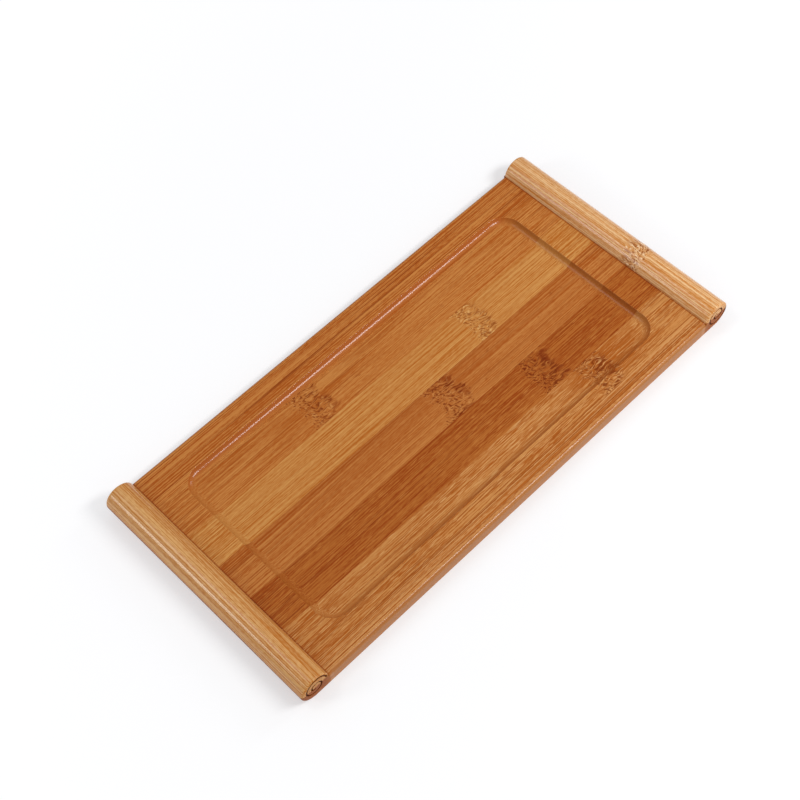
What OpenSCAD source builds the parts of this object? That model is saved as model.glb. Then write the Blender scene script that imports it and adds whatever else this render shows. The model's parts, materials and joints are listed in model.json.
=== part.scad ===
// Scroll-ended bamboo tea tray. X runs along the tray, Y across it and Z up.
// The origin is the middle of the underside, on the table.

/* [Board] */
// Length over both rolls
tray_l = 282; // [240:1:340]
// Width across the board, which is also the length of each roll
board_w = 135; // [126:1:140]
// Thickness of the deck, the upper layer of strips that holds the recess
deck_t = 5.2; // [4.4:0.1:6]
// Thickness of the base, the lower layer of strips
base_t = 3.6; // [3:0.1:5]
// Radius along the long edges of the top face
edge_r = 2; // [0.5:0.1:2.6]
// Radius along the long edges of the underside
low_edge_r = 0.5; // [0.3:0.1:1.5]

/* [Strips] */
// Width sawn off the two outer strips together, when the glued board is cut to its width
edge_trim = 16.2; // [12:0.1:18]
// Distance from the centre line to the deck's nearest glue line
deck_seam = 5.4; // [3:0.1:7]
// Sideways step from the deck's glue lines to those of the base
base_step = 10.8; // [8:0.1:12]

/* [Rolls] */
// Diameter of the roll at each end
roll_d = 15.7; // [14.5:0.1:20]
// Rounding of the edge round each end of a roll
roll_ease = 1; // [0.3:0.1:1.2]

/* [Recess] */
// Deck left between the foot of each roll and the recess
end_border = 15.6; // [8:0.1:30]
// Deck left between each long edge and the recess
side_border = 14.2; // [8:0.1:24]
// Depth of the recess floor under the deck's top face
recess_depth = 2.5; // [1:0.1:3]
// Corner radius of the rim
recess_corner = 11; // [8:0.5:25]
// Width of the hollow curve between floor and rim
cove_reach = 4.9; // [3:0.1:7]

/* [Scroll groove] */
// Width of the spiral groove in the ends of the rolls
groove_w = 0.9; // [0.5:0.1:1.2]
// Depth of the groove
groove_depth = 1; // [0.5:0.1:2]
// Turns of the spiral, from its tail under the roll to its eye
groove_turns = 1.75; // [1.25:0.25:2]
// Flat left between the middle of the groove's tail and the rounded edge
groove_land = 0.3; // [0.3:0.1:1]
// Distance from the spiral's centre to the middle of the groove at the eye
groove_eye = 1.25; // [1:0.05:1.6]
// Height of the spiral's centre over the roll's own centre
groove_rise = 1; // [0:0.1:1.2]

/* [Hidden] */
$fn = 96;
strips = 7;
deck_colours = ["#a8622c", "#b4692e", "#c6803c", "#b66d31", "#9c531f", "#ba7536", "#b26c32"];
base_colour = "#b5743a";
rail_colour = "#c3874c";
// Extra reach of a cutter past the face it starts from
over = 1;
board_t = base_t + deck_t;
half_w = board_w / 2;
// Width of a bamboo strip between two glue lines
strip_w = hundredth((board_w + edge_trim) / strips);
// Of a layer's glue lines, counted from the +Y edge, the one that lies nearest the middle
middle_seam = floor(strips / 2);
roll_r = roll_d / 2;
// Middle of each roll, whose outline rests on the table
roll_x = tray_l / 2 - roll_r;
// Where the roll's outline meets the deck's top face
foot_x = hundredth(roll_x - sqrt(pow(roll_r, 2) - pow(board_t - roll_r, 2)));
// Half sizes of the recess at its rim and of its flat floor
rim_x = foot_x - end_border;
rim_y = half_w - side_border;
flat_x = rim_x - cove_reach;
flat_y = rim_y - cove_reach;
flat_corner = recess_corner - cove_reach;
floor_z = board_t - recess_depth;
// The cove is an arc that starts level with the floor and ends at the rim
cove_r = (pow(recess_depth, 2) + pow(cove_reach, 2)) / (2 * recess_depth);
// The cove's cutter reaches this far back over the flat floor, so that no skin is left between them
cove_overlap = 0.5;
// Spiral of the groove: a steady step inwards for each degree
spiral_z = roll_r + groove_rise;
spiral_start_r = roll_r - roll_ease - groove_land;
spiral_step = (spiral_start_r - groove_eye) / (360 * groove_turns);
spiral_facet = 10;

// A length cut to whole hundredths, so that curved and straight cuts meet exactly
function hundredth(length) = round(100 * length) / 100;
// Glue line k of a layer, counted from the +Y edge, with the layer's sideways step
function seam_y(k, step) = deck_seam + step + (middle_seam - k) * strip_w;
// The two long faces of strip i of a layer
function strip_top_y(i, step) = i == 1 ? half_w : seam_y(i - 1, step);
function strip_low_y(i, step) = i == strips ? -half_w : seam_y(i, step);
// A point beside the spiral's middle line, a degrees on from the tail
function spiral_point(a, side) =
    let (r = spiral_start_r - spiral_step * a + side * groove_w / 2)
    [r * cos(a - 90), r * sin(a - 90)];

// A circle of radius roll_r round Y, with its two end edges rounded
module roll_form(side) {
    translate([side * roll_x, half_w, roll_r])
        rotate([90, 0, 0])
            rotate_extrude()
                intersection() {
                    union() {
                        square([roll_r - roll_ease, board_w]);
                        translate([0, roll_ease]) square([roll_r, board_w - 2 * roll_ease]);
                        for (y = [roll_ease, board_w - roll_ease])
                            translate([roll_r - roll_ease, y]) circle(roll_ease);
                    }
                    square([roll_r, board_w]);
                }
}

// The whole board with both rolls, before it is divided into layers and strips
module tray_form() {
    translate([-roll_x, -half_w, 0]) cube([2 * roll_x, board_w, board_t]);
    roll_form(-1);
    roll_form(1);
}

// What the router takes off a long edge: the corner outside a radius
module edge_cutter(radius, length) {
    rotate([90, 0, 90])
        linear_extrude(length, center = true)
            difference() {
                square([radius + over, radius + over]);
                circle(radius);
            }
}

module top_edge_cut(side) {
    translate([0, side * (half_w - edge_r), board_t - edge_r])
        mirror([0, side < 0 ? 1 : 0, 0])
            edge_cutter(edge_r, 2 * foot_x);
}

module low_edge_cut(side) {
    translate([0, side * (half_w - low_edge_r), low_edge_r])
        mirror([0, 0, 1])
            mirror([0, side < 0 ? 1 : 0, 0])
                edge_cutter(low_edge_r, tray_l + 2 * over);
}

// Section of the cove, from a little inside the floor's edge outwards
module cove_section() {
    intersection() {
        translate([0, cove_r]) circle(cove_r);
        square([cove_reach + over, recess_depth]);
    }
    translate([0, recess_depth]) square([cove_reach, over]);
    translate([-cove_overlap, 0]) square([cove_overlap, recess_depth + over]);
}

// Removed volume of the recess: flat floor, four straight coves and four corner coves
module recess() {
    corner_x = flat_x - flat_corner;
    corner_y = flat_y - flat_corner;
    translate([0, 0, floor_z]) {
        linear_extrude(recess_depth + over) {
            square([2 * flat_x, 2 * corner_y], center = true);
            square([2 * corner_x, 2 * flat_y], center = true);
            for (x = [-corner_x, corner_x], y = [-corner_y, corner_y])
                translate([x, y]) circle(flat_corner);
        }
        for (a = [0, 180]) {
            rotate([0, 0, a])
                translate([flat_x, corner_y, 0])
                    rotate([90, 0, 0])
                        linear_extrude(2 * corner_y) cove_section();
            rotate([0, 0, a + 90])
                translate([flat_y, corner_x, 0])
                    rotate([90, 0, 0])
                        linear_extrude(2 * corner_x) cove_section();
        }
        for (sx = [0, 1], sy = [0, 1])
            mirror([sx, 0, 0])
                mirror([0, sy, 0])
                    translate([corner_x, corner_y, 0])
                        rotate_extrude(angle = 90)
                            translate([flat_corner, 0]) cove_section();
    }
}

// Outline of the spiral groove, with round ends
module spiral_outline() {
    turn = 360 * groove_turns;
    steps = [0 : spiral_facet : turn];
    polygon(concat(
        [for (a = steps) spiral_point(a, 1)],
        [for (a = steps) spiral_point(turn - a, -1)]
    ));
    for (a = [0, turn])
        translate(spiral_point(a, 0)) circle(d = groove_w);
}

// The groove in both ends of one roll
module grooves(side) {
    for (end = [-1, 1])
        translate([side * roll_x, end * half_w, spiral_z])
            mirror([side < 0 ? 1 : 0, 0, 0])
                rotate([90, 0, 0])
                    linear_extrude(2 * groove_depth, center = true) spiral_outline();
}

// One strip of a layer, cut out of the whole form
module strip_blank(i, step, z, t) {
    low = strip_low_y(i, step);
    intersection() {
        translate([-tray_l / 2, low, z]) cube([tray_l, strip_top_y(i, step) - low, t]);
        tray_form();
    }
}

module deck_strip(i) {
    color(deck_colours[i - 1])
        difference() {
            strip_blank(i, 0, base_t, deck_t);
            if (i == 1 || i == strips) {
                top_edge_cut(i == 1 ? 1 : -1);
                grooves(-1);
                grooves(1);
            }
            recess();
        }
}

module base_strip(i) {
    color(base_colour)
        difference() {
            strip_blank(i, base_step, 0, base_t);
            if (i == 1 || i == strips) {
                low_edge_cut(i == 1 ? 1 : -1);
                grooves(-1);
                grooves(1);
            }
        }
}

// A rail lies across the end of the deck and makes the upper part of the roll
module roll_rail(side) {
    color(rail_colour)
        difference() {
            intersection() {
                roll_form(side);
                translate([side * roll_x - roll_r, -half_w, board_t])
                    cube([roll_d, board_w, roll_d - board_t]);
            }
            grooves(side);
        }
}

for (i = [1 : strips]) {
    deck_strip(i);
    base_strip(i);
}
roll_rail(-1);  // left_roll_rail
roll_rail(1);  // right_roll_rail
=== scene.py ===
"""Looks of a scroll-ended bamboo tea tray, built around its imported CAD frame.

X runs along the tray, Y across it and Z up. Lengths are in metres, unless a name ends in _mm.
"""

import json
import logging
import math
from dataclasses import dataclass, field, replace
from enum import Enum
from functools import partial

import bmesh
import bpy
from mathutils import Matrix, Vector

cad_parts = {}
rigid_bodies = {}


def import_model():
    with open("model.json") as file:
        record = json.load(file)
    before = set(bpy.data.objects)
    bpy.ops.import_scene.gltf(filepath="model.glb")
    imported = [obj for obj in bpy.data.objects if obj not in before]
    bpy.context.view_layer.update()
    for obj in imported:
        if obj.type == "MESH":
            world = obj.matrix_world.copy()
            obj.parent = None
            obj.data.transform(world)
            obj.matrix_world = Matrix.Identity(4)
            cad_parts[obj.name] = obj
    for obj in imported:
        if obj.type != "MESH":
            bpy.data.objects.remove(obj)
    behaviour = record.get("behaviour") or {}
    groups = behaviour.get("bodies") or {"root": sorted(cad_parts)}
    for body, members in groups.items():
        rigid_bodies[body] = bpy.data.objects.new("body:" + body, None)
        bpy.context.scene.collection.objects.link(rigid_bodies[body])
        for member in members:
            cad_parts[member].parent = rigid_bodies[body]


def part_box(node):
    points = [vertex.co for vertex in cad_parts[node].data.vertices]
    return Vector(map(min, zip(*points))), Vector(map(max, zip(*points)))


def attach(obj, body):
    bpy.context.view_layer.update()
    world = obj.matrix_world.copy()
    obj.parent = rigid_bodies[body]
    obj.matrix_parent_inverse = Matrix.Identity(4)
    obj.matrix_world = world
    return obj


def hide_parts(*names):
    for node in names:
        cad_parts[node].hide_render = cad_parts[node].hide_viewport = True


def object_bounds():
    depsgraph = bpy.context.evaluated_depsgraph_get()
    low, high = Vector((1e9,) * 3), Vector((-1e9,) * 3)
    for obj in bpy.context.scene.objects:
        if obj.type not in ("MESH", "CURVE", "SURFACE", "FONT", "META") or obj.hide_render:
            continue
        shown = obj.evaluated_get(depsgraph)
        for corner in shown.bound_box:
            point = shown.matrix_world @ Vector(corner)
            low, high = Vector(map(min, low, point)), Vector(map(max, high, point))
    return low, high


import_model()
CAD_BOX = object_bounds()

LOG = logging.getLogger("tea_tray")
MM = 0.001
STRIPS = 7
# Place of the right rail's knuckle along the roll, where the roll also swells
RAIL_KNUCKLE_MM = -16.5
# Angle past which two faces of a piece meet in a crisp arris
CRISP_ANGLE = math.radians(28)

# A kind of node is looked for in each family in turn
NODE_FAMILIES = ("GeometryNode", "FunctionNode", "ShaderNode")

Tree = bpy.types.NodeTree
Socket = bpy.types.NodeSocket
Feed = Socket | float | int | bool | tuple | str | None


class Side(Enum):
    """Which end of the tray a roll is on."""

    LEFT = -1
    RIGHT = 1


class Grain(Enum):
    """Way that the fibres of a bamboo piece run, as the turn in degrees that brings them to X."""

    ALONG_TRAY = 0
    ALONG_ROLL = -90


def linear(hex_colour: str) -> tuple[float, float, float, float]:
    """Turns an sRGB hex colour into linear light.

    Args:
        hex_colour: Colour such as "#b4692e".

    Returns:
        Red, green, blue and full alpha.
    """
    shares = [int(hex_colour[i:i + 2], 16) / 255 for i in (1, 3, 5)]
    light = [s / 12.92 if s <= 0.04045 else ((s + 0.055) / 1.055) ** 2.4 for s in shares]
    return light[0], light[1], light[2], 1.0


def add_node(
    tree: Tree,
    kind: str,
    feeds: list[Feed] | dict[str | int, Feed] | None = None,
    out: str | int = 0,
    **settings: object,
) -> Socket:
    """Adds a node with its settings and links.

    Args:
        tree: Tree that gets the node.
        kind: Blender's name for the kind of node without its family, then a dot and its operation, if any.
        feeds: Value of, or output linked to, each input: a list in order, or by name or number.
        out: Name or number of the output that is handed back.
        settings: Attributes of the node.

    Returns:
        The chosen output.
    """
    kind, _, operation = kind.partition(".")
    if operation:
        settings["operation"] = operation
    family = next(name for name in NODE_FAMILIES if hasattr(bpy.types, name + kind))
    node = tree.nodes.new(family + kind)
    for name, value in settings.items():
        setattr(node, name, value)
    for key, value in feeds.items() if isinstance(feeds, dict) else enumerate(feeds or ()):
        if isinstance(value, Socket):
            tree.links.new(value, node.inputs[key])
        else:
            node.inputs[key].default_value = value
    return node.outputs[out]


@dataclass(frozen=True)
class Patch:
    """A soft-edged patch of a strip drawn lighter or darker, as tone from the steaming or as painted light
    and shade.
    """

    along_mm: float
    across_mm: float
    length_mm: float
    width_mm: float
    lift: float

    def draw(self, tree: Tree, place: Feed) -> Feed:
        """Gives how much the patch lifts the tone at each place.

        Args:
            tree: Material's node tree.
            place: Place in mm, with the fibres along X.

        Returns:
            The lift, from 0 outside to the patch's own at its middle.
        """
        add = partial(add_node, tree)
        spot = add("VectorMath.SUBTRACT", [place, (self.along_mm, self.across_mm, 0.0)])
        spot = add("VectorMath.MULTIPLY", [spot, (2 / self.length_mm, 2 / self.width_mm, 0.0)])
        reach = add("VectorMath.LENGTH", [spot], out="Value")
        return add("MapRange", [reach, 1.3, 0.2, 0.0, self.lift], interpolation_type="SMOOTHSTEP")


@dataclass(frozen=True)
class Knuckle:
    """A bamboo node: the band where the fibres of one stem joint tangle with the next.

    Along the strip come small crossed cells, then longer lens marks, then a dark smudge at their end.
    """

    along_mm: float
    across_mm: float
    half_mm: float = 9.0
    bulge_mm: float = 2.0
    ragged_mm: float = 3.0
    cells: float = 0.8
    lenses: float = 0.8
    smudge: float = 0.7
    gleam: float = 0.5

    def place(self, tree: Tree, place: Feed, seed: float) -> Feed:
        """Gives the place along the band, from -1 at the cells' end to 1 past the smudge.

        Args:
            tree: Material's node tree.
            place: Place in mm, with the fibres along X.
            seed: Number that sets this knuckle's own outline.

        Returns:
            The place along the band.
        """
        add = partial(add_node, tree)
        spot = add("VectorMath.SUBTRACT", [place, (self.along_mm, self.across_mm, 0.0)])
        along, across, _ = add("SeparateXYZ", [spot]).node.outputs
        rim = add("TexNoise", {"W": across, "Scale": 0.45, "Detail": 2.0, "Vector": (seed, 0.0, 0.0)},
                  noise_dimensions="4D")
        rim = add("Math.MULTIPLY_ADD", [rim, 2 * self.ragged_mm, -self.ragged_mm])
        # The band bulges by this much 10 mm from its middle
        arch = add("Math.MULTIPLY", [across, across])
        rim = add("Math.MULTIPLY_ADD", [arch, -self.bulge_mm / 100, rim])
        along = add("Math.SUBTRACT", [along, rim])
        return add("Math.MULTIPLY", [along, 1 / self.half_mm])


@dataclass(frozen=True)
class FaceShares:
    """How far a face belongs to each kind of place on the tray, as feeds that are 0 elsewhere.

    The first three are the sine of the face's tilt on the board's long edges, on the ends of the rolls
    and round the rolls. The cove's is the drop of the face's upward part on the recess's walls.
    """

    side: Feed
    roll_end: Feed
    flank: Feed
    cove: Feed
    torn_wall: Feed
    end_grain_and_shade: Feed
    groove: Feed

    @classmethod
    def read(cls, tree: Tree, along_mm: Feed, inner_mm: float, end_grain: float) -> "FaceShares":
        """Works the shares out from the surface's place and normal.

        Args:
            tree: Material's node tree.
            along_mm: Place along the fibres.
            inner_mm: Distance from the middle within which end grain counts.
            end_grain: How dark a wall that cuts straight across the fibres is drawn; on the right wall this
                carries painted shade too.

        Returns:
            The shares.
        """
        add = partial(add_node, tree)
        normal = add("TexCoord", out="Normal")
        normal_x, normal_y, upwards = add("SeparateXYZ", [normal]).node.outputs
        turn_x, turn_y = (add("Math.ABSOLUTE", [part]) for part in (normal_x, normal_y))
        place = add("TexCoord", out="Object")
        place = add("VectorMath.ABSOLUTE", [place])
        along, across, _ = add("SeparateXYZ", [place]).node.outputs
        far = CAD_BOX[1]
        foot = far.x - far.z

        outer = add("MapRange", [across, far.y - 3 * MM, far.y - 2.5 * MM])
        roll = add("MapRange", [along, foot - 3 * MM, foot + 3 * MM])
        board = add("Math.SUBTRACT", [1.0, roll])
        inner = add("Math.SUBTRACT", [board, outer])
        side = add("Math.MULTIPLY", [turn_y, outer])
        lean = add("Math.SUBTRACT", [1.0, upwards])
        shares = [add("Math.MULTIPLY", [tilt, where])
                  for tilt, where in ((side, board), (side, roll), (turn_x, roll), (lean, inner))]

        # On the recess's long walls the fibres are torn, and the brown is deeper
        torn = add("MapRange", {0: shares[-1], 1: 0.02, 2: 0.2, 4: 0.9})
        torn = add("Math.MULTIPLY", [torn, turn_y])

        # Both end walls of the recess cut across the fibres and show darker end grain. The right wall, which
        # faces away from the key lamp, is drawn darker still, as painted shade
        cut, right_wall_grain_and_shade = (add("Math.MULTIPLY", [normal_x, part]) for part in (0.52, -1.0))
        cut = add("Math.MAXIMUM", [cut, right_wall_grain_and_shade])
        cut = add("MapRange", {0: cut, 1: 0.2, 2: 0.7, 4: end_grain}, interpolation_type="SMOOTHSTEP")
        reach = add("Math.ABSOLUTE", [along_mm])
        within = add("MapRange", [reach, inner_mm + 1, inner_mm])
        cut = add("Math.MULTIPLY", [cut, within])

        # Painted shade inside the scroll groove, where it goes down into the end of a roll
        roll_r = far.z / 2
        spoke = add("VectorMath.SUBTRACT", [place, (far.x - roll_r, 0.0, roll_r)])
        spoke = add("VectorMath.MULTIPLY", [spoke, (1.0, 0.0, 1.0)])
        reach = add("VectorMath.LENGTH", [spoke], out="Value")
        within = add("MapRange", [reach, roll_r - 0.7 * MM, roll_r - 0.9 * MM])
        deep = add("MapRange", [across, far.y - 0.1 * MM, far.y - 0.35 * MM])
        groove = add("Math.MULTIPLY", [within, deep])
        return cls(*shares, torn, cut, groove)


@dataclass(frozen=True)
class Fibres:
    """One layer of streaks along the fibres, as noise with marks of a set length and width."""

    length_mm: float
    width_mm: float
    layer: float
    detail: float = 2.0
    weight: float = 0.0
    runs_on: bool = False


# What makes up a strip's tone, from broad drifts to single fibre bundles and short ticks. Those that run
# on are drawn out by the finish's own reach.
DRIFT = Fibres(100, 6, 1.1, weight=0.8)
STREAKS = Fibres(60, 2.2, 2.1, weight=0.9, runs_on=True)
BUNDLES = Fibres(90, 0.8, 3.1, 1.0, 2.4, True)
LINES = Fibres(80, 0.42, 4.1, 0.5, 3.4, True)
TICKS = Fibres(2.4, 0.36, 6.1, 0.0, 1.3)
TONE = (DRIFT, STREAKS, BUNDLES, LINES, TICKS)
# Dark hairlines, pale flecks, how the fibres wander, and where a glue line shows
HAIRS = Fibres(60, 0.5, 5.1, 1.0, runs_on=True)
FLECKS = Fibres(9, 0.42, 7.1, 1.0)
WANDER = Fibres(120, 14, 0.5, 0.0)
TANGLE = Fibres(6, 3.0, 0.7, 1.0)
GLUE_GAPS = Fibres(30, 12, 9.1, 1.0)
# The four kinds of mark in a knuckle
CELLS = Fibres(1.8, 0.7, 21, 1.0)
LENSES = Fibres(4.5, 0.75, 31, 1.0)
SMUDGE = Fibres(6, 2.5, 41)
GLEAM = Fibres(3, 0.7, 51, 1.0)

# What each kind of mark or place makes of the tone's red, green and blue
DARK_FIBRE = (0.82, 0.6, 0.34)
PALE_FIBRE = (1.18, 1.48, 2.4)
HAIRLINE = (0.6, 0.38, 0.16)
STAIN = (0.57, 0.34, 0.18)
FLECK = (1.34, 1.95, 4.0)
DARK_MARK = (0.45, 0.23, 0.06)
# End grain of the recess's end walls, with painted shade on the right wall
DARK_END_GRAIN_AND_SHADE = (0.5, 0.42, 0.4)
TORN_WALL = (0.85, 0.6, 0.45)
# Painted shade on the board's long sides and the rounding above them
SHADED_LONG_SIDE = (0.85, 0.83, 0.82)
# Painted shade inside the scroll grooves
GROOVE_SHADE = (0.3, 0.2, 0.2)


@dataclass(frozen=True)
class LacqueredBamboo:
    """Steam-darkened bamboo, planed and sanded, under a clear satin lacquer.

    The steaming gives the brown, and each strip comes out in its own tone. Fibre bundles show as fine
    darker and lighter lines along the strip, which the lacquer leaves with a soft gloss. They are
    about a fifth of a millimetre wide on the real strip and drawn twice as wide, to show from a step away.
    """

    name: str
    slot: str
    tone: str
    seed: float
    grain: Grain = Grain.ALONG_TRAY
    contrast: float = 1.0
    hairlines: float = 0.5
    flecks: float = 0.2
    tilt: float = 0.0
    glue_lines: float = 0.0
    end_grain: float = 0.0
    reach: float = 1.0
    coat: float = 0.8
    coat_roughness: float = 0.12
    edge_coat: float = 0.45
    cove_coat: float = 0.5
    tone_and_light_patches: tuple[Patch, ...] = ()
    fleck_patches: tuple[Patch, ...] = ()
    knuckles: tuple[Knuckle, ...] = ()

    def shade(self, factors: tuple[float, float, float]) -> tuple[float, ...]:
        """Gives the tone with each channel of its linear light scaled."""
        return *(light * factor for light, factor in zip(linear(self.tone), factors)), 1.0

    def fibre(self, tree: Tree, place: Feed, fibres: Fibres) -> Socket:
        """Draws noise that is stretched along the fibres.

        Args:
            tree: Material's node tree.
            place: Place in mm, with the fibres along X.
            fibres: Size and layer of the marks.

        Returns:
            The noise, from 0 to 1 with its middle at 0.5.
        """
        length_mm = fibres.length_mm * (self.reach if fibres.runs_on else 1)
        stretch = (1 / length_mm, 1 / fibres.width_mm, 1 / fibres.width_mm)
        stretched = add_node(tree, "VectorMath.MULTIPLY", [place, stretch])
        return add_node(tree, "TexNoise", {"Vector": stretched, "W": self.seed + fibres.layer, "Scale": 1.0,
                        "Detail": fibres.detail, "Roughness": 0.6}, noise_dimensions="4D")

    def knuckle_bands(self, tree: Tree, place: Feed) -> list[tuple[Feed, Feed]]:
        """Draws where each knuckle is.

        Args:
            tree: Material's node tree.
            place: Place in mm, with the fibres along X.

        Returns:
            For each knuckle, the place along its band and how far a place is inside the band.
        """
        bands = []
        for number, knuckle in enumerate(self.knuckles):
            spot = knuckle.place(tree, place, self.seed + number)
            far = add_node(tree, "Math.ABSOLUTE", [spot])
            inside = add_node(tree, "MapRange", [far, 1.5, 0.6], interpolation_type="SMOOTHSTEP")
            bands.append((spot, inside))
        return bands

    def knuckle_marks(self, tree: Tree, bent: Feed,
                      bands: list[tuple[Feed, Feed]]) -> tuple[Feed, Feed, Feed]:
        """Draws the knuckles' marks.

        Args:
            tree: Material's node tree.
            bent: Place in mm as the wandering fibres carry it.
            bands: Each knuckle's band.

        Returns:
            The dark marks, the stains and the light marks, each from 0 to 1.
        """
        add = partial(add_node, tree)
        marks: list[Feed] = [0.0, 0.0, 0.0]
        dark, stain, light = range(3)
        for number, (knuckle, (spot, inside)) in enumerate(zip(self.knuckles, bands)):
            slanted = add("Mapping", {"Vector": bent, "Rotation": (0, 0, math.radians(40))})
            # Marks get fewer and smaller towards the rim of the band, and each kind has its own part of it
            crowd = add("MapRange", {0: inside, 3: -0.25, 4: 0.0})
            left, right, end = (
                add("MapRange", [spot, *limits])
                for limits in ((0.3, -0.1, -0.12, 0.0), (-0.5, 0.1, -0.12, 0.0), (0.1, 0.7, -0.2, 0.04)))
            for kind, place, fibres, thinners, limits, strength, soft in (
                    (dark, slanted, CELLS, (crowd, left), (0.5, 0.6), knuckle.cells, False),
                    (dark, bent, LENSES, (crowd, right), (0.5, 0.6), knuckle.lenses, False),
                    (stain, bent, SMUDGE, (crowd, end), (0.4, 0.62), knuckle.smudge, True),
                    (light, bent, GLEAM, (crowd,), (0.52, 0.64), knuckle.gleam, False)):
                noise = self.fibre(tree, place, replace(fibres, layer=fibres.layer + number))
                for thinner in thinners:
                    noise = add("Math.ADD", [noise, thinner])
                mark = add("MapRange", {0: noise, 1: limits[0], 2: limits[1], 4: strength},
                           interpolation_type="SMOOTHSTEP" if soft else "LINEAR")
                marks[kind] = add("Math.MAXIMUM", [marks[kind], mark])
        return marks[dark], marks[stain], marks[light]

    def glue_share(self, tree: Tree, place: Feed, across: Feed, box: tuple[Vector, Vector]) -> Feed:
        """Draws the glue lines along both edges of a strip, with gaps where the joint closed fully.

        Args:
            tree: Material's node tree.
            place: Place in mm, with the fibres along X.
            across: Its part across the fibres.
            box: Lowest and highest corner of the piece, in metres.

        Returns:
            How dark the line is, from 0 to the finish's own.
        """
        add = partial(add_node, tree)
        low = add("Math.SUBTRACT", [across, box[0].y / MM])
        high = add("Math.SUBTRACT", [box[1].y / MM, across])
        edge = add("Math.MINIMUM", [low, high])
        edge = add("MapRange", {0: edge, 1: 0.4, 2: 0.1, 4: self.glue_lines})
        gaps = add("MapRange", [self.fibre(tree, place, GLUE_GAPS), 0.42, 0.55])
        return add("Math.MULTIPLY", [edge, gaps])

    def lacquer(self, tree: Tree, faces: FaceShares, relief: Feed) -> None:
        """Lays the lacquer over the bamboo.

        Args:
            tree: Material's node tree.
            faces: Kinds of place on the surface.
            relief: Height that the lacquer follows.
        """
        add = partial(add_node, tree)
        shader = tree.nodes["Principled BSDF"]
        bump = add("Bump", {"Height": relief, "Distance": 0.03 * MM, "Strength": 0.5})
        rough = add("MapRange", {0: faces.end_grain_and_shade, 3: 0.45, 4: 0.8})
        # End grain and sawn sides drink the lacquer, so less of it stays on top there
        film = add("MapRange", {0: faces.end_grain_and_shade, 2: 0.6, 3: self.coat, 4: 0.0})
        for share, limits, left in ((faces.side, (0.75, 1.0), self.edge_coat),
                                    (faces.roll_end, (0.1, 0.5), 0.05), (faces.flank, (0.8, 0.97), 0.3),
                                    (faces.cove, (0.05, 0.2), self.cove_coat)):
            thin = add("MapRange", [share, *limits, 1.0, left])
            film = add("Math.MULTIPLY", [film, thin])
        gloss = add("MapRange", [faces.side, 0.2, 0.6, self.coat_roughness, 0.34])
        gloss = add("Math.MULTIPLY_ADD", [faces.cove, 0.1, gloss])
        for feed, name in ((bump, "Normal"), (rough, "Roughness"), (film, "Coat Weight"),
                           (gloss, "Coat Roughness")):
            tree.links.new(feed, shader.inputs[name])
        # The film wets the bamboo, so that next to no gloss is left to the surface under it
        for name, value in (("Specular IOR Level", 0.08), ("Coat IOR", 1.5),
                            ("Coat Roughness", self.coat_roughness)):
            shader.inputs[name].default_value = value

    def make(self, box: tuple[Vector, Vector], sunk_floor: tuple[float, float] | None,
             inner_mm: float) -> bpy.types.Material:
        """Builds the material.

        Args:
            box: Lowest and highest corner of the piece, in metres.
            sunk_floor: Heights between which a sunk floor turns into the outer face, if there is one.
            inner_mm: Distance from the middle within which end grain counts.

        Returns:
            The material.
        """
        material = bpy.data.materials.new("steamed_bamboo_" + self.name)
        material.use_nodes = True
        tree = material.node_tree
        add = partial(add_node, tree)

        # Place in mm, turned so that the fibres run along X
        place = add("TexCoord", out="Object")
        place = add("Mapping", {"Vector": place, "Scale": (1 / MM,) * 3,
                                "Rotation": (0, 0, math.radians(self.grain.value))})
        along, across, height = add("SeparateXYZ", [place]).node.outputs
        faces = FaceShares.read(tree, along, inner_mm, self.end_grain)
        bands = self.knuckle_bands(tree, place)
        tangled: Feed = 0.0
        for _, inside in bands:
            tangled = add("Math.MAXIMUM", [tangled, inside])

        # The fibres wander a little across the strip, and more in a knuckle
        wander, tangle = (
            add("Math.MULTIPLY_ADD", [self.fibre(tree, place, fibres), 2 * most_mm, -most_mm])
            for fibres, most_mm in ((WANDER, 1.2), (TANGLE, 2.5)))
        wander = add("Math.MULTIPLY_ADD", [tangle, tangled, wander])
        shift = add("CombineXYZ", {"Y": wander})
        bent = add("VectorMath.ADD", [place, shift])
        dark_marks, stains, light_marks = self.knuckle_marks(tree, bent, bands)

        # Further into the stem's wall the bundles are fewer, so a milled floor is a little calmer
        crisp: Feed = self.contrast
        if sunk_floor:
            crisp = add("MapRange", [height, sunk_floor[0] / MM, sunk_floor[1] / MM,
                                     0.72 * self.contrast, 1.15 * self.contrast])
            # On the walls the bundles are cut askew, and run into each other
            slope = add("MapRange", [faces.cove, 0.01, 0.06, 1.0, 0.3])
            crisp = add("Math.MULTIPLY", [crisp, slope])
        calm = add("Math.MULTIPLY_ADD", [tangled, -0.5, 1.0])
        crisp = add("Math.MULTIPLY", [crisp, calm])

        middle = 0.5 * (box[0].y + box[1].y) / MM
        tone = add("Math.MULTIPLY_ADD", [across, self.tilt / 10, 0.5 - middle * self.tilt / 10])
        for patch in self.tone_and_light_patches:
            tone = add("Math.ADD", [tone, patch.draw(tree, place)])
        layers = {fibres: self.fibre(tree, bent, fibres) for fibres in TONE}
        for fibres, noise in layers.items():
            swing = add("Math.SUBTRACT", [noise, 0.5])
            swing = add("Math.MULTIPLY", [swing, crisp])
            tone = add("Math.MULTIPLY_ADD", [swing, fibres.weight, tone])
        colour = add("Mix", {0: tone, 6: self.shade(DARK_FIBRE), 7: self.shade(PALE_FIBRE)}, out=2,
                     data_type="RGBA")

        # Dark hairlines, with the glue lines, and painted shade in the crease at the foot of each roll
        hairs = self.fibre(tree, bent, HAIRS)
        hairs = add("MapRange", {0: hairs, 1: 0.56, 2: 0.64, 4: self.hairlines})
        hairs = add("Math.MULTIPLY", [hairs, crisp])
        if self.glue_lines:
            hairs = add("Math.MAXIMUM", [hairs, self.glue_share(tree, place, across, box)])
        if inner_mm:
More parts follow.
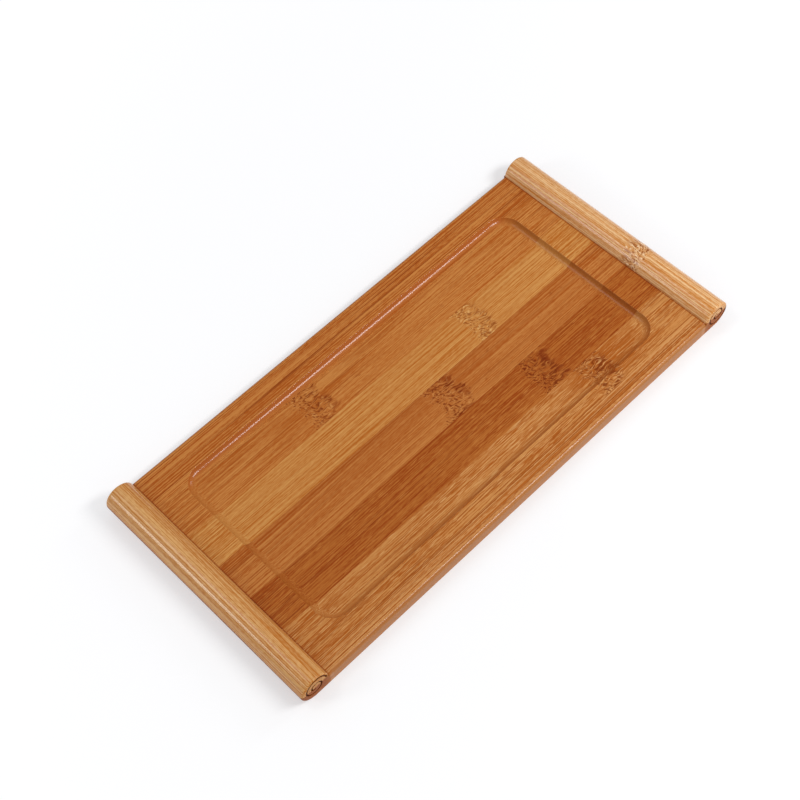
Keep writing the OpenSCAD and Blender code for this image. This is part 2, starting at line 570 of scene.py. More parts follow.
            # Painted shade along the crease where each roll rises from the deck
            reach = add("Math.ABSOLUTE", [along])
            foot = add("MapRange", {0: reach, 1: inner_mm + 1.2, 2: inner_mm + 1.8, 4: 0.95})
            hairs = add("Math.MAXIMUM", [hairs, foot])
        # Short pale flecks
        flecks = self.fibre(tree, bent, FLECKS)
        for patch in self.fleck_patches:
            flecks = add("Math.ADD", [flecks, patch.draw(tree, place)])
        flecks = add("MapRange", {0: flecks, 1: 0.59, 2: 0.67, 4: self.flecks})
        flecks = add("Math.MAXIMUM", [flecks, light_marks])

        for marks, factors in ((hairs, HAIRLINE), (stains, STAIN), (flecks, FLECK), (dark_marks, DARK_MARK),
                               (faces.end_grain_and_shade, DARK_END_GRAIN_AND_SHADE), (faces.torn_wall, TORN_WALL),
                               (faces.side, SHADED_LONG_SIDE), (faces.groove, GROOVE_SHADE)):
            colour = add("Mix", {0: marks, 6: colour, 7: self.shade(factors)}, out=2, data_type="RGBA")
        tree.links.new(colour, tree.nodes["Principled BSDF"].inputs["Base Color"])

        # The lacquer sinks a little into the fibre lines and the knuckles' cells
        sunk = add("Math.MAXIMUM", [hairs, dark_marks])
        relief = add("Math.SUBTRACT", [layers[BUNDLES], sunk])
        self.lacquer(tree, faces, relief)
        return material


def new_object(name: str, data: bpy.types.ID) -> bpy.types.Object:
    """Puts a mesh, a lamp or a camera into the scene as an object at the origin.

    Args:
        name: Name of the object.
        data: The mesh, lamp or camera.

    Returns:
        The object.
    """
    item = bpy.data.objects.new(name, data)
    bpy.context.scene.collection.objects.link(item)
    return item


def plain_mesh(item: bpy.types.Object) -> bpy.types.Object:
    """Turns an object's modifiers into its mesh and takes them off.

    Args:
        item: Object with modifiers.

    Returns:
        The same object.
    """
    graph = bpy.context.evaluated_depsgraph_get()
    baked = bpy.data.meshes.new_from_object(item.evaluated_get(graph), depsgraph=graph)
    item.modifiers.clear()
    item.data = baked
    return item


def shell(name: str, rings: list[list[Vector]]) -> bpy.types.Object:
    """Skins a row of closed rings into a closed shell with its faces outwards.

    Args:
        name: Name of the new object.
        rings: Rings with the same number of points each.

    Returns:
        The object.
    """
    sheet = bmesh.new()
    rows = [[sheet.verts.new(point) for point in ring] for ring in rings]
    count = len(rows[0])
    for low, high in zip(rows, rows[1:]):
        for i in range(count):
            j = (i + 1) % count
            sheet.faces.new((low[i], low[j], high[j], high[i]))
    sheet.faces.new(rows[0][::-1])
    sheet.faces.new(rows[-1])
    bmesh.ops.remove_doubles(sheet, verts=sheet.verts, dist=1e-7)
    bmesh.ops.dissolve_degenerate(sheet, edges=sheet.edges, dist=1e-7)
    bmesh.ops.recalc_face_normals(sheet, faces=sheet.faces)
    mesh = bpy.data.meshes.new(name)
    sheet.to_mesh(mesh)
    sheet.free()
    return new_object(name, mesh)


def cut(item: bpy.types.Object, tools: list[bpy.types.Object]) -> None:
    """Takes each tool's volume out of an item.

    Args:
        item: Closed shell to cut.
        tools: Closed shells, which stay as they are.
    """
    for tool in tools:
        step = item.modifiers.new(tool.name, "BOOLEAN")
        step.operation = "DIFFERENCE"
        step.solver = "MANIFOLD"
        step.object = tool
    plain_mesh(item)


def finish_piece(item: bpy.types.Object, node: str, slot: str) -> None:
    """Smooths a piece's curved faces, with its flat faces flat and its arrises crisp, and hands it over.

    Args:
        item: Piece with its final shape.
        node: Node of the CAD frame whose place it takes.
        slot: The node's material slot; not used.
    """
    item.data.polygons.foreach_set("use_smooth", [True] * len(item.data.polygons))
    item.data.set_sharp_from_angle(angle=CRISP_ANGLE)
    step = item.modifiers.new("Even shading", "WEIGHTED_NORMAL")
    step.keep_sharp = True
    step.weight = 80
    plain_mesh(item)
    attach(item, "root")
    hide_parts(node)
    LOG.info("%s: %d faces", item.name, len(item.data.polygons))


class ShapeTree:
    """A Geometry Nodes tree that is filled in by the script and run on one object at a time."""

    def __init__(self, name: str, inputs: dict[str, str]) -> None:
        """Starts the tree.

        Args:
            name: Name of the tree.
            inputs: Name and kind of each size that the tree takes, besides the piece's material.
        """
        self.tree = bpy.data.node_groups.new(name, "GeometryNodeTree")
        self.ids: dict[str, str] = {}
        self.tree.interface.new_socket("Geometry", in_out="OUTPUT", socket_type="NodeSocketGeometry")
        for label, kind in {**inputs, "Material": "Material"}.items():
            socket = self.tree.interface.new_socket(label, in_out="INPUT", socket_type="NodeSocket" + kind)
            self.ids[label] = socket.identifier
        self.source = self.tree.nodes.new("NodeGroupInput")

    def size(self, label: str) -> Socket:
        """Gives the socket of a named input."""
        return self.source.outputs[label]

    def close(self, shape: Socket) -> None:
        """Ends the tree: real geometry, in the piece's own material.

        Args:
            shape: Output with the finished shape.
        """
        real = add_node(self.tree, "RealizeInstances", [shape])
        dressed = add_node(self.tree, "SetMaterial", {0: real, "Material": self.size("Material")})
        end = self.tree.nodes.new("NodeGroupOutput")
        self.tree.links.new(dressed, end.inputs[0])

    def run(self, name: str, values: dict[str, object]) -> bpy.types.Object:
        """Builds one piece with the tree.

        Args:
            name: Name of the piece.
            values: Value of each named input.

        Returns:
            The piece as a plain mesh.
        """
        item = new_object(name, bpy.data.meshes.new(name))
        step = item.modifiers.new(self.tree.name, "NODES")
        step.node_group = self.tree
        for label, value in values.items():
            step[self.ids[label]] = value
        return plain_mesh(item)


@dataclass
class TraySizes:
    """Main sizes of the tray, read from the CAD frame, with the roundings of its edges."""

    edge_r: float = 2.0 * MM
    low_edge_r: float = 0.5 * MM
    roll_ease: float = 1.2 * MM
    half_l: float = field(init=False)
    half_w: float = field(init=False)
    deck_low: float = field(init=False)
    deck_top: float = field(init=False)
    roll_r: float = field(init=False)

    def __post_init__(self) -> None:
        """Reads the frame."""
        self.half_l = CAD_BOX[1].x
        self.half_w = CAD_BOX[1].y
        self.roll_r = CAD_BOX[1].z / 2
        self.deck_low, self.deck_top = (corner.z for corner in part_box("deck_strip_4"))

    @property
    def roll_x(self) -> float:
        """Distance of each roll's middle from the middle of the tray."""
        return self.half_l - self.roll_r

    @property
    def foot_x(self) -> float:
        """Distance at which a roll rises from the deck."""
        return self.roll_x - math.sqrt(self.roll_r ** 2 - (self.deck_top - self.roll_r) ** 2)

    def roll_radius(self, y: float) -> float:
        """Gives a roll's radius at a place along it, which draws in at the rounded ends."""
        past = max(0.0, abs(y) - (self.half_w - self.roll_ease))
        return self.roll_r - self.roll_ease + math.sqrt(max(0.0, self.roll_ease ** 2 - past ** 2))

    def edge_drop(self, y: float, radius: float) -> float:
        """Gives how far a long edge's rounding takes the face back at a place across the board."""
        past = max(0.0, abs(y) - (self.half_w - radius))
        return radius - math.sqrt(max(0.0, radius ** 2 - past ** 2))

    def stations(self, steps: int) -> list[float]:
        """Gives the places across the board where its outline is drawn, close together in roundings.

        Args:
            steps: Steps in each rounding.

        Returns:
            The places, from the near edge to the far one.
        """
        places = {self.half_w - radius * (1 - math.sin(math.radians(90) * i / steps))
                  for radius in (self.edge_r, self.low_edge_r, self.roll_ease) for i in range(steps + 1)}
        return sorted({-y for y in places} | places)


@dataclass
class RecessTool:
    """The volume that the router takes out: a flat floor, a cove all round and an eased rim."""

    sizes: TraySizes
    end_border: float = 16.15 * MM
    side_border: float = 15.2 * MM
    shift: float = -0.45 * MM
    depth: float = 2.5 * MM
    corner: float = 11 * MM
    cove_reach: float = 4.9 * MM
    rim_ease: float = 0.5 * MM
    cove_steps: int = 14
    rim_steps: int = 5
    corner_steps: int = 40
    over: float = 1 * MM

    def profile(self) -> list[tuple[float, float]]:
        """Draws the cove's section.

        Returns:
            Its points, as distances outwards from the floor's edge and heights over it.
        """
        cove_r = (self.depth ** 2 + self.cove_reach ** 2) / (2 * self.depth)
        # The rim's rounding starts where it touches the cove and ends level with the deck
        rim_z = self.depth - self.rim_ease
        start = math.acos((cove_r - rim_z) / (cove_r + self.rim_ease))
        centre_x = (cove_r + self.rim_ease) * math.sin(start)
        points = [(cove_r * math.sin(a), cove_r * (1 - math.cos(a)))
                  for a in (start * i / self.cove_steps for i in range(self.cove_steps + 1))]
        for i in range(1, self.rim_steps + 1):
            a = start * (1 - i / self.rim_steps)
            points.append((centre_x - self.rim_ease * math.sin(a), rim_z + self.rim_ease * math.cos(a)))
        points.append((centre_x, self.depth + self.over))
        return points

    def ring(self, outwards: float, z: float) -> list[Vector]:
        """Gives a rounded rectangle round the floor.

        Args:
            outwards: Distance outside the floor's edge.
            z: Height of the ring.

        Returns:
            Its points, counter-clockwise.
        """
        flat_x = self.sizes.foot_x - self.end_border - self.cove_reach
        flat_y = self.sizes.half_w - self.side_border - self.cove_reach
        inner = self.corner - self.cove_reach
        points = []
        for quarter, (sx, sy) in enumerate(((1, 1), (-1, 1), (-1, -1), (1, -1))):
            for i in range(self.corner_steps + 1):
                a = math.radians(90) * (quarter + i / self.corner_steps)
                points.append(Vector((self.shift + sx * (flat_x - inner) + (inner + outwards) * math.cos(a),
                                      sy * (flat_y - inner) + (inner + outwards) * math.sin(a), z)))
        return points

    def build(self) -> bpy.types.Object:
        """Builds the tool as a closed shell."""
        floor_z = self.sizes.deck_top - self.depth
        return shell("recess_tool", [self.ring(out, floor_z + up) for out, up in self.profile()])


@dataclass
class ScrollGroove:
    """The spiral groove in the end of a roll, which makes it look like a rolled sheet."""

    sizes: TraySizes
    width: float = 0.9 * MM
    depth: float = 1.0 * MM
    bottom_width: float = 0.5 * MM
    turns: float = 1.75
    end_ease: float = 1.0 * MM
    land: float = 0.3 * MM
    eye: float = 1.25 * MM
    rise: float = 1.0 * MM
    over: float = 0.6 * MM

    def tree(self) -> ShapeTree:
        """Builds the tree that sweeps the groove's section along the spiral.

        Returns:
            The closed tree.
        """
        shape = ShapeTree("Scroll groove", {"Turns": "Float", "Start Radius": "Float", "Eye Radius": "Float",
                                            "Clockwise": "Bool", "Top Width": "Float",
                                            "Bottom Width": "Float", "Height": "Float", "Sink": "Vector",
                                            "Turn": "Rotation", "Place": "Vector"})
        tree = shape.tree
        add = partial(add_node, tree)
        size = shape.size
        path = add("CurveSpiral", {"Resolution": 72, "Rotations": size("Turns"),
                                   "Start Radius": size("Start Radius"), "End Radius": size("Eye Radius"),
                                   "Height": 0.0, "Reverse": size("Clockwise")})
        path = add("SetCurveNormal", [path], mode="Z_UP")
        section = add("CurvePrimitiveQuadrilateral", {
            "Bottom Width": size("Bottom Width"), "Top Width": size("Top Width"),
            "Height": size("Height"), "Offset": 0.0}, mode="TRAPEZOID")
        section = add("FilletCurve", {0: section, "Count": 4, "Radius": 0.2 * MM, "Limit Radius": True},
                      mode="POLY")
        section = add("Transform", {0: section, "Translation": size("Sink")})
        groove = add("CurveToMesh", {0: path, 1: section, "Fill Caps": True})
        groove = add("Transform", {0: groove, "Translation": size("Place"), "Rotation": size("Turn")})
        shape.close(groove)
        return shape

    def build(self) -> list[bpy.types.Object]:
        """Builds the cutting tools.

        Returns:
            Four shells, one for each end of each roll.
        """
        shape = self.tree()
        height = self.depth + self.over
        flare = (self.width - self.bottom_width) / self.depth
        tools = []
        for side in Side:
            for end in (-1, 1):
                # Seen from the near end, the right roll's spiral turns counter-clockwise
                tools.append(shape.run(f"groove_tool_{side.name.lower()}_{end}", {
                    "Turns": self.turns,
                    "Start Radius": self.sizes.roll_r - self.end_ease - self.land,
                    "Eye Radius": self.eye,
                    "Clockwise": side.value * end > 0,
                    "Top Width": self.bottom_width + flare * height,
                    "Bottom Width": self.bottom_width,
                    "Height": height,
                    "Sink": (0.0, height / 2 - self.depth, 0.0),
                    "Turn": (math.radians(-90 * end), 0.0, 0.0),
                    "Place": (side.value * self.sizes.roll_x, end * self.sizes.half_w,
                              self.sizes.roll_r + self.rise),
                }))
        return tools


@dataclass
class BoardLayer:
    """One of the board's two layers: strips glued side by side, milled as one and named one by one."""

    sizes: TraySizes
    prefix: str
    finishes: list[LacqueredBamboo]
    arc_steps: int = 14
    edge_steps: int = 10
    reach: float = 5 * MM
    calm_under: float = 2.2 * MM
    crisp_over: float = 0.2 * MM
    foot_gap_mm: float = 2.0

    @property
    def is_deck(self) -> bool:
        """Says whether this is the upper layer."""
        return self.prefix == "deck_strip"

    def ring(self, y: float) -> list[Vector]:
        """Gives the layer's outline at a place across the board.

        Args:
            y: Place across the board.

        Returns:
            The outline's points, with the round ends of both rolls.
        """
        s = self.sizes
        low = s.deck_low if self.is_deck else s.edge_drop(y, s.low_edge_r)
        high = s.deck_top if self.is_deck else s.deck_low
        radius = s.roll_radius(y)
        start = math.asin(max(-1.0, (low - s.roll_r) / radius))
        stop = math.asin((high - s.roll_r) / radius)
        end = []
        for i in range(self.arc_steps + 1):
            a = start + (stop - start) * i / self.arc_steps
            end.append((s.roll_x + radius * math.cos(a), s.roll_r + radius * math.sin(a)))
        if self.is_deck:
            end += [(s.foot_x, high), (s.foot_x, high - s.edge_drop(y, s.edge_r))]
        return [Vector((x, y, z)) for x, z in end] + [Vector((-x, y, z)) for x, z in reversed(end)]

    def form(self, tools: list[bpy.types.Object]) -> bpy.types.Object:
        """Mills the whole layer.

        Args:
            tools: Volumes to take out of it.

        Returns:
            The layer before it is divided at its glue lines.
        """
        rings = [self.ring(y) for y in self.sizes.stations(self.edge_steps)]
        whole = shell(f"{self.prefix}_layer", rings)
        cut(whole, tools)
        return whole

    def tree(self) -> ShapeTree:
        """Builds the tree that cuts one strip out of the layer, between two glue lines.

        Returns:
            The closed tree.
        """
        shape = ShapeTree(f"{self.prefix} between glue lines", {
            "Layer": "Object", "Size": "Vector", "Middle": "Vector"})
        tree = shape.tree
        layer = add_node(tree, "ObjectInfo", {"Object": shape.size("Layer")}, out="Geometry")
        block = add_node(tree, "MeshCube", {"Size": shape.size("Size")})
        block = add_node(tree, "Transform", {0: block, "Translation": shape.size("Middle")})
        strip = tree.nodes.new("GeometryNodeMeshBoolean")
        strip.operation = "INTERSECT"
        strip.solver = "MANIFOLD"
        for part in (layer, block):
            tree.links.new(part, strip.inputs["Mesh 2"])
        shape.close(strip.outputs[0])
        return shape

    def build(self, tools: list[bpy.types.Object]) -> None:
        """Builds, dresses and places every strip of the layer.

        Args:
            tools: Volumes to take out of the layer.
        """
        whole = self.form(tools)
        shape = self.tree()
        for number, finish in enumerate(self.finishes, start=1):
            node = f"{self.prefix}_{number}"
            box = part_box(node)
            low, high = box[0].copy(), box[1].copy()
            # Past the glue lines only, so that every other face is the layer's own
            low.x, low.z = -self.sizes.half_l - self.reach, -self.reach
            high.x, high.z = self.sizes.half_l + self.reach, self.sizes.deck_top + self.reach
            low.y -= self.reach if number == STRIPS else 0
            high.y += self.reach if number == 1 else 0
            sunk = (box[1].z - self.calm_under, box[1].z - self.crisp_over) if self.is_deck else None
            strip = shape.run(node + "_bamboo", {
                "Layer": whole, "Size": tuple(high - low), "Middle": tuple((high + low) / 2),
                "Material": finish.make(box, sunk, self.sizes.foot_x / MM - self.foot_gap_mm)})
            finish_piece(strip, node, finish.slot)
        bpy.data.objects.remove(whole)


@dataclass
class RollRail:
    """The rail across one end of the deck, the upper part of a roll."""

    sizes: TraySizes
    side: Side
    finish: LacqueredBamboo
    stations: int = 150
    around: int = 144
    ease_steps: int = 8
    swell: float = 0.10 * MM
    swell_place: float = RAIL_KNUCKLE_MM * MM
    swell_half: float = 4 * MM
    waver: float = 0.06 * MM
    waver_pace: tuple[float, float, float] = (40.0, 22.0, 40.0)
    skin_share: float = 0.97

    def tree(self) -> ShapeTree:
        """Builds the tree that sweeps the roll along its axis and keeps what lies above the deck.

        Returns:
            The closed tree.
        """
        shape = ShapeTree(f"{self.side.name.title()} roll rail", {
            "Length": "Float", "Radius": "Float", "End Ease": "Float", "Middle": "Vector",
            "Deck Block": "Vector", "Deck Block Middle": "Vector", "Swell": "Float",
            "Swell Place": "Float", "Swell Half": "Float", "Waver": "Float"})
        tree = shape.tree
        add = partial(add_node, tree)
        size = shape.size
        last = self.stations - 1
        index = add("InputIndex")

        # The first and last stations follow a quarter circle, the others lie evenly between them
        quarters = []
        for steps in (index, add("Math.SUBTRACT", [float(last), index])):
            turn = add("MapRange", {0: steps, 2: float(self.ease_steps), 4: math.radians(90)})
            quarters.append([add("Math", [turn], operation=wave) for wave in ("SINE", "COSINE")])
        (near_sine, near_cosine), (far_sine, far_cosine) = quarters
        between = add("MapRange", [index, float(self.ease_steps), float(last - self.ease_steps)])
        straight = add("Math.MULTIPLY_ADD", [size("End Ease"), -2.0, size("Length")])
        run = add("Math.MULTIPLY", [between, straight])
        ends = add("Math.SUBTRACT", [far_cosine, near_cosine])
        run = add("Math.MULTIPLY_ADD", [ends, size("End Ease"), run])
        half = add("Math.MULTIPLY", [straight, 0.5])
        along = add("Math.SUBTRACT", [run, half])
        least = add("Math.MINIMUM", [near_sine, far_sine])
        core = add("Math.SUBTRACT", [size("Radius"), size("End Ease")])
        radius = add("Math.MULTIPLY_ADD", [least, size("End Ease"), core])

        line = add("CurvePrimitiveLine", {"End": (0.0, 1.0, 0.0)})
        line = add("ResampleCurve", {0: line, "Count": self.stations})
        spot = add("CombineXYZ", {"Y": along})
        line = add("SetPosition", {0: line, "Position": spot})
        ring = add("CurvePrimitiveCircle", {"Resolution": self.around, "Radius": 1.0}, mode="RADIUS")
        line = add("SetCurveRadius", {0: line, "Radius": radius})
        held = add("InputRadius")
        roll = add("CurveToMesh", {0: line, 1: ring, "Scale": held, "Fill Caps": True})

        # Sanded by hand: the radius wavers a little, and swells at the knuckle
        place = add("InputPosition")
        flat = add("VectorMath.MULTIPLY", [place, (1.0, 0.0, 1.0)])
        outwards = add("VectorMath.NORMALIZE", [flat])
        reach = add("VectorMath.LENGTH", [flat], out="Value")
        skin = add("Compare.GREATER_THAN", [reach, self.sizes.roll_r * self.skin_share])
        noise_place = add("VectorMath.MULTIPLY", [place, self.waver_pace])
        waver = add("TexNoise", {"Vector": noise_place, "W": self.finish.seed, "Scale": 1.0, "Detail": 1.0},
                    noise_dimensions="4D")
        waver = add("Math.SUBTRACT", [waver, 1.0])
        waver = add("Math.MULTIPLY", [waver, size("Waver")])
        level = add("SeparateXYZ", [place], out="Y")
        level = add("Math.SUBTRACT", [level, size("Swell Place")])
        level = add("Math.DIVIDE", [level, size("Swell Half")])
        level = add("Math.ABSOLUTE", [level])
        level = add("MapRange", [level, 1.0, 0.0], interpolation_type="SMOOTHERSTEP")
        offset = add("Math.MULTIPLY_ADD", [level, size("Swell"), waver])
        offset = add("VectorMath.SCALE", {0: outwards, "Scale": offset})
        roll = add("SetPosition", {0: roll, "Selection": skin, "Offset": offset})
        roll = add("Transform", {0: roll, "Translation": size("Middle")})
        block = add("MeshCube", {"Size": size("Deck Block")})
        block = add("Transform", {0: block, "Translation": size("Deck Block Middle")})
        rail = add("MeshBoolean.DIFFERENCE", {"Mesh 1": roll, "Mesh 2": block}, solver="MANIFOLD")
        shape.close(rail)
        return shape

    def build(self, tools: list[bpy.types.Object]) -> None:
        """Builds, dresses and places the rail.

        Args:
            tools: Groove tools to cut its ends with.
        """
        s = self.sizes
        node = f"{self.side.name.lower()}_roll_rail"
        middle = Vector((self.side.value * s.roll_x, 0, s.roll_r))
        block = Vector((4 * s.roll_r, 2.2 * s.half_w, 2 * s.deck_top))
        bamboo = self.finish.make(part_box(node), None, 0.0)
        swell = self.swell if self.finish.knuckles else 0.0
        rail = self.tree().run(node + "_bamboo", {
            "Length": 2 * s.half_w, "Radius": s.roll_r - swell, "End Ease": s.roll_ease,
            "Middle": tuple(middle), "Deck Block": tuple(block), "Deck Block Middle": (middle.x, 0.0, 0.0),
            "Swell": swell, "Swell Place": self.swell_place, "Swell Half": self.swell_half,
            "Waver": self.waver, "Material": bamboo})
        cut(rail, [tool for tool in tools if self.side.name.lower() in tool.name])
        rail.data.materials.clear()
        rail.data.materials.append(bamboo)
        rail.data.polygons.foreach_set("material_index", [0] * len(rail.data.polygons))
        finish_piece(rail, node, self.finish.slot)


@dataclass(frozen=True)
class Softbox:
    """An oval soft lamp, aimed at the tray, with its long side along the tray."""

    name: str
    direction: tuple[float, float, float]
    distance: float
    length: float
    height: float
    level: float

    def place(self) -> None:
        """Adds the lamp, as bright as gives a floor under it its share of full white."""
        towards = Vector(self.direction).normalized()
        along = (Vector((1, 0, 0)) - towards.x * towards).normalized()
        data = bpy.data.lights.new(self.name, "AREA")
        data.shape = "ELLIPSE"
        data.size = self.length
        data.size_y = self.height
        data.energy = self.level * (math.pi * self.distance) ** 2 / towards.z
        axes = Matrix((along, towards.cross(along), towards)).transposed().to_4x4()
        item = new_object(self.name, data)
        item.matrix_world = Matrix.Translation(self.distance * towards) @ axes


@dataclass
class Studio:
    """Plain pale floor, soft light and the camera at the photograph's viewing angle."""

    azimuth: float = math.radians(-39.313)
    elevation: float = math.radians(58.435)
    roll: float = math.radians(-5.964)
    distance: float = 751.78 * MM
    target: tuple[float, float, float] = (-3.73 * MM, 13.56 * MM, 0.0)
    lens_mm: float = 70.18
    floor_half: float = 3.0
    floor_albedo: float = 0.9
    floor_gain: float = 0.62
    floor_glow: float = 0.35
    far_floor_glow: float = 0.57
    glow_from: float = 0.12
    glow_to: float = 0.56
    lit_place: tuple[float, float, float] = (0.1, -0.15, 0.0)
    sky_level: float = 0.5
    mirrored_sky_level: float = 0.04
    lamps: tuple[Softbox, ...] = (
        Softbox("key_lamp", (0.34, -0.52, 0.79), 0.62, 0.36, 0.12, 0.38),
        Softbox("side_lamp", (-0.78, 0.40, 0.48), 1.2, 0.31, 0.31, 0.055),
        Softbox("right_lamp", (0.85, -0.16, 0.50), 0.9, 0.3, 0.2, 0.04),
        Softbox("back_lamp", (-0.31, 0.37, 0.87), 1.05, 0.3, 0.3, 0.06),
    )

    def camera(self) -> None:
        """Places the camera."""
        back = Vector((math.sin(self.azimuth) * math.cos(self.elevation),
                       -math.cos(self.azimuth) * math.cos(self.elevation), math.sin(self.elevation)))
        level = Vector((0, 0, 1)).cross(back).normalized()
        turn = Matrix.Rotation(self.roll, 3, back)
        right = turn @ level
        up = turn @ back.cross(level)
        data = bpy.data.cameras.new("camera")
        data.sensor_width = 36
        data.lens = self.lens_mm
        axes = Matrix((right, up, back)).transposed().to_4x4()
        item = new_object("camera", data)
        item.matrix_world = Matrix.Translation(Vector(self.target) + self.distance * back) @ axes
        bpy.context.scene.camera = item

    def sky(self) -> None:
        """Sets an even pale light all round, which the camera sees as white and gloss as a dim room."""
        world = bpy.data.worlds.new("studio")
        world.use_nodes = True
        tree = world.node_tree
        add = partial(add_node, tree)
        tree.nodes.clear()
        seen = add("LightPath", out="Is Camera Ray")
        mirrored = add("LightPath", out="Is Glossy Ray")
        level = add("MapRange", {0: mirrored, 3: self.sky_level, 4: self.mirrored_sky_level})
        light = add("Background", {"Color": linear("#fafbff"), "Strength": level})
        white = add("Background", {"Color": linear("#fdfdfe"), "Strength": 1.0})
        both = add("MixShader", [seen, light, white])
        end = tree.nodes.new("ShaderNodeOutputWorld")
        tree.links.new(both, end.inputs["Surface"])
        bpy.context.scene.world = world

    def floor(self) -> None:
        """Lays the floor: a white table top, lit a little from below as the camera sees it."""
        material = bpy.data.materials.new("white_table_top")
        material.use_nodes = True
        tree = material.node_tree
        add = partial(add_node, tree)
        shader = tree.nodes["Principled BSDF"]
        # Gloss mirrors the table top as the camera sees it
        seen = add("LightPath", out="Is Camera Ray")
        mirrored = add("LightPath", out="Is Glossy Ray")
        seen = add("Math.MAXIMUM", [seen, mirrored])
        pale, bright = ((level, level, level, 1.0) for level in (self.floor_albedo, self.floor_gain))
        colour = add("Mix", {0: seen, 6: pale, 7: bright}, out=2, data_type="RGBA")
        tree.links.new(colour, shader.inputs["Base Color"])
        # The lamps fall off to the far left, and the glow makes up for that
        place = add("TexCoord", out="Object")
        reach = add("VectorMath.DISTANCE", [place, self.lit_place], out="Value")
        glow = add("MapRange", [reach, self.glow_from, self.glow_to, self.floor_glow, self.far_floor_glow])
        glow = add("Math.MULTIPLY", [glow, seen])
        tree.links.new(glow, shader.inputs["Emission Strength"])
        shader.inputs["Emission Color"].default_value = linear("#fdfdfe")
        shader.inputs["Roughness"].default_value = 0.9
        shader.inputs["Specular IOR Level"].default_value = 0.0
        h = self.floor_half
        mesh = bpy.data.meshes.new("floor")
        mesh.from_pydata([(-h, -h, 0), (h, -h, 0), (h, h, 0), (-h, h, 0)], [], [(0, 1, 2, 3)])
        mesh.materials.append(material)
        new_object("floor", mesh)

    def build(self) -> None:
        """Builds the studio."""
        self.camera()
        self.sky()
        self.floor()
        for lamp in self.lamps:
            lamp.place()
        bpy.context.scene.view_settings.view_transform = "Standard"


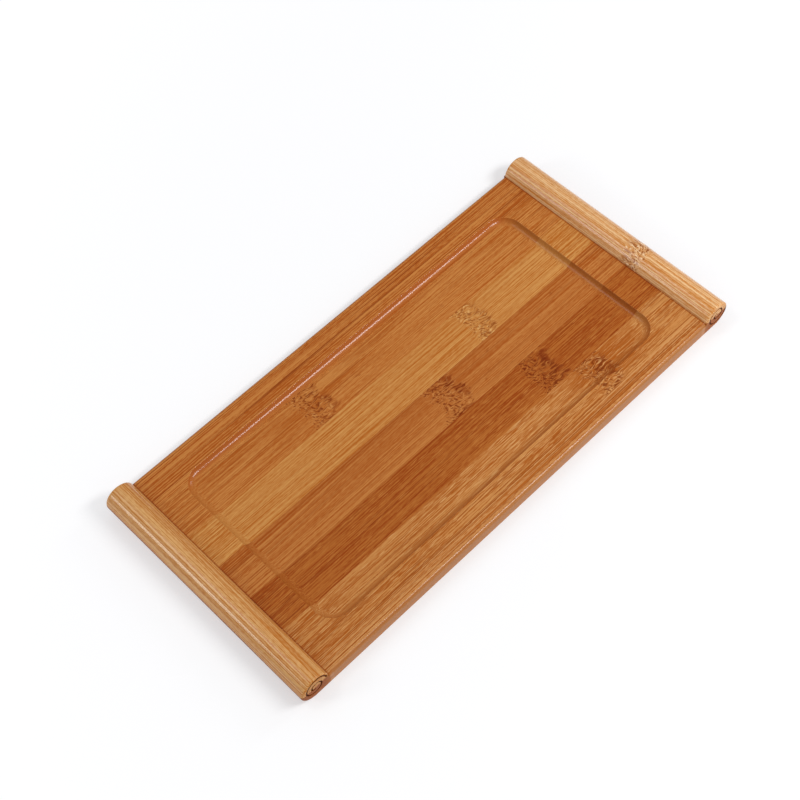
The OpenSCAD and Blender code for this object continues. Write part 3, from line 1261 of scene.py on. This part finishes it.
def deck_finishes() -> list[LacqueredBamboo]:
    """Sets the deck strips' finishes.

    Returns:
        One for each of the seven strips, from the far edge to the near one.
    """
    # The patches at the right ends of strips 5, 6 and 7 are painted light, where the near right corner is
    # lit brighter, and the dark one at the left end of strip 7 is painted shade
    return [
        LacqueredBamboo("strip_1", "bamboo_russet", "#bb6c27", 11.0, end_grain=0.65, contrast=1.2,
                        hairlines=0.8, reach=2.6, tone_and_light_patches=(Patch(118, 58, 60, 40, 0.12),)),
        LacqueredBamboo("strip_2", "bamboo_caramel", "#bd702a", 23.0, end_grain=0.65, reach=0.7,
                        tone_and_light_patches=(Patch(-42, 38, 50, 30, -0.15), Patch(60, 38, 90, 30, 0.12)),
                        knuckles=(Knuckle(-36, 37.8, half_mm=8, cells=0.9, lenses=0.9, smudge=0.7),)),
        LacqueredBamboo("strip_3", "bamboo_honey", "#c57f35", 37.0, end_grain=0.65,
                        hairlines=0.35, contrast=0.8, reach=0.8,
                        knuckles=(Knuckle(52.5, 16, half_mm=6.5, cells=0.75, lenses=0.7, smudge=0.35,
                                          gleam=0.9),)),
        LacqueredBamboo("strip_4", "bamboo_caramel", "#b56826", 41.0, end_grain=0.65,
                        tilt=-0.16, glue_lines=0.6, reach=2.4, tone_and_light_patches=(Patch(32, -5, 30, 24, -0.12),),
                        knuckles=(Knuckle(12.5, -5.4, half_mm=9.5, bulge_mm=3, cells=0.9, lenses=1.0,
                                          smudge=0.9),)),
        LacqueredBamboo("strip_5", "bamboo_amber", "#a55517", 53.0, end_grain=0.65,
                        contrast=1.4, flecks=1.0, reach=0.7,
                        tone_and_light_patches=(Patch(0, -30, 50, 16, 0.15), Patch(118, -27, 34, 40, 0.35),
                                 Patch(-118, -27, 34, 40, 0.2)),
                        fleck_patches=(Patch(20, -32, 90, 14, 0.05),),
                        knuckles=(Knuckle(52.5, -27, half_mm=8.5, bulge_mm=-1, cells=0.9, smudge=0.9),)),
        LacqueredBamboo("strip_6", "bamboo_honey", "#b9712e", 67.0, end_grain=0.65,
                        contrast=1.15, flecks=1.0, reach=0.6,
                        tone_and_light_patches=(Patch(80, -46, 50, 26, -0.42), Patch(118, -48, 34, 40, 0.4)),
                        fleck_patches=(Patch(15, -46, 100, 30, 0.06),),
                        knuckles=(Knuckle(71, -48, half_mm=8.5, cells=0.9, lenses=0.95, smudge=1.0,
                                          gleam=0.7),)),
        LacqueredBamboo("strip_7", "bamboo_russet", "#be7937", 71.0, contrast=1.4,
                        hairlines=0.8, reach=3.6,
                        tone_and_light_patches=(Patch(-118, -63, 120, 40, -0.28), Patch(118, -63, 90, 40, 0.25))),
    ]


def base_finishes() -> list[LacqueredBamboo]:
    """Sets the base strips' finishes, in tones that alternate as the strips came to hand.

    Returns:
        One for each of the seven strips.
    """
    tones = ("#c77e3a", "#bc7331", "#d08b41")
    return [LacqueredBamboo(f"base_{i + 1}", "bamboo_base", tones[(2 * i) % 3],
                            seed=101.0 + 7 * i) for i in range(STRIPS)]


def rail_finish(side: Side) -> LacqueredBamboo:
    """Sets a rail's finish: a paler bamboo, with its fibres along the roll.

    Args:
        side: End of the tray that the rail is on.

    Returns:
        The finish.
    """
    knuckles = (Knuckle(RAIL_KNUCKLE_MM, -133, half_mm=6, cells=0.9, lenses=0.8, smudge=0.6, gleam=1.0),)
    # The right rail's tone is lighter than the left one's: partly the rails' own tones, partly painted light
    # for the better lit right roll
    tone = "#dba05b" if side is Side.RIGHT else "#ce8f47"
    return LacqueredBamboo(f"{side.name.lower()}_rail", "bamboo_rail", tone,
                           151.0 + side.value * 5, grain=Grain.ALONG_ROLL, contrast=0.9, hairlines=0.5,
                           coat=0.85, coat_roughness=0.19, reach=3.0,
                           knuckles=knuckles if side is Side.RIGHT else ())


def main() -> None:
    """Builds the studio and the tray's pieces in order."""
    logging.basicConfig(level=logging.INFO, format="%(name)s %(message)s")
    Studio().build()
    sizes = TraySizes()
    groove_tools = ScrollGroove(sizes).build()
    recess_tool = RecessTool(sizes).build()
    BoardLayer(sizes, "deck_strip", deck_finishes()).build([recess_tool, *groove_tools])
    BoardLayer(sizes, "base_strip", base_finishes()).build(groove_tools)
    for side in Side:
        RollRail(sizes, side, rail_finish(side)).build(groove_tools)
    for tool in (recess_tool, *groove_tools):
        bpy.data.objects.remove(tool)


if __name__ == "__main__":
    main()
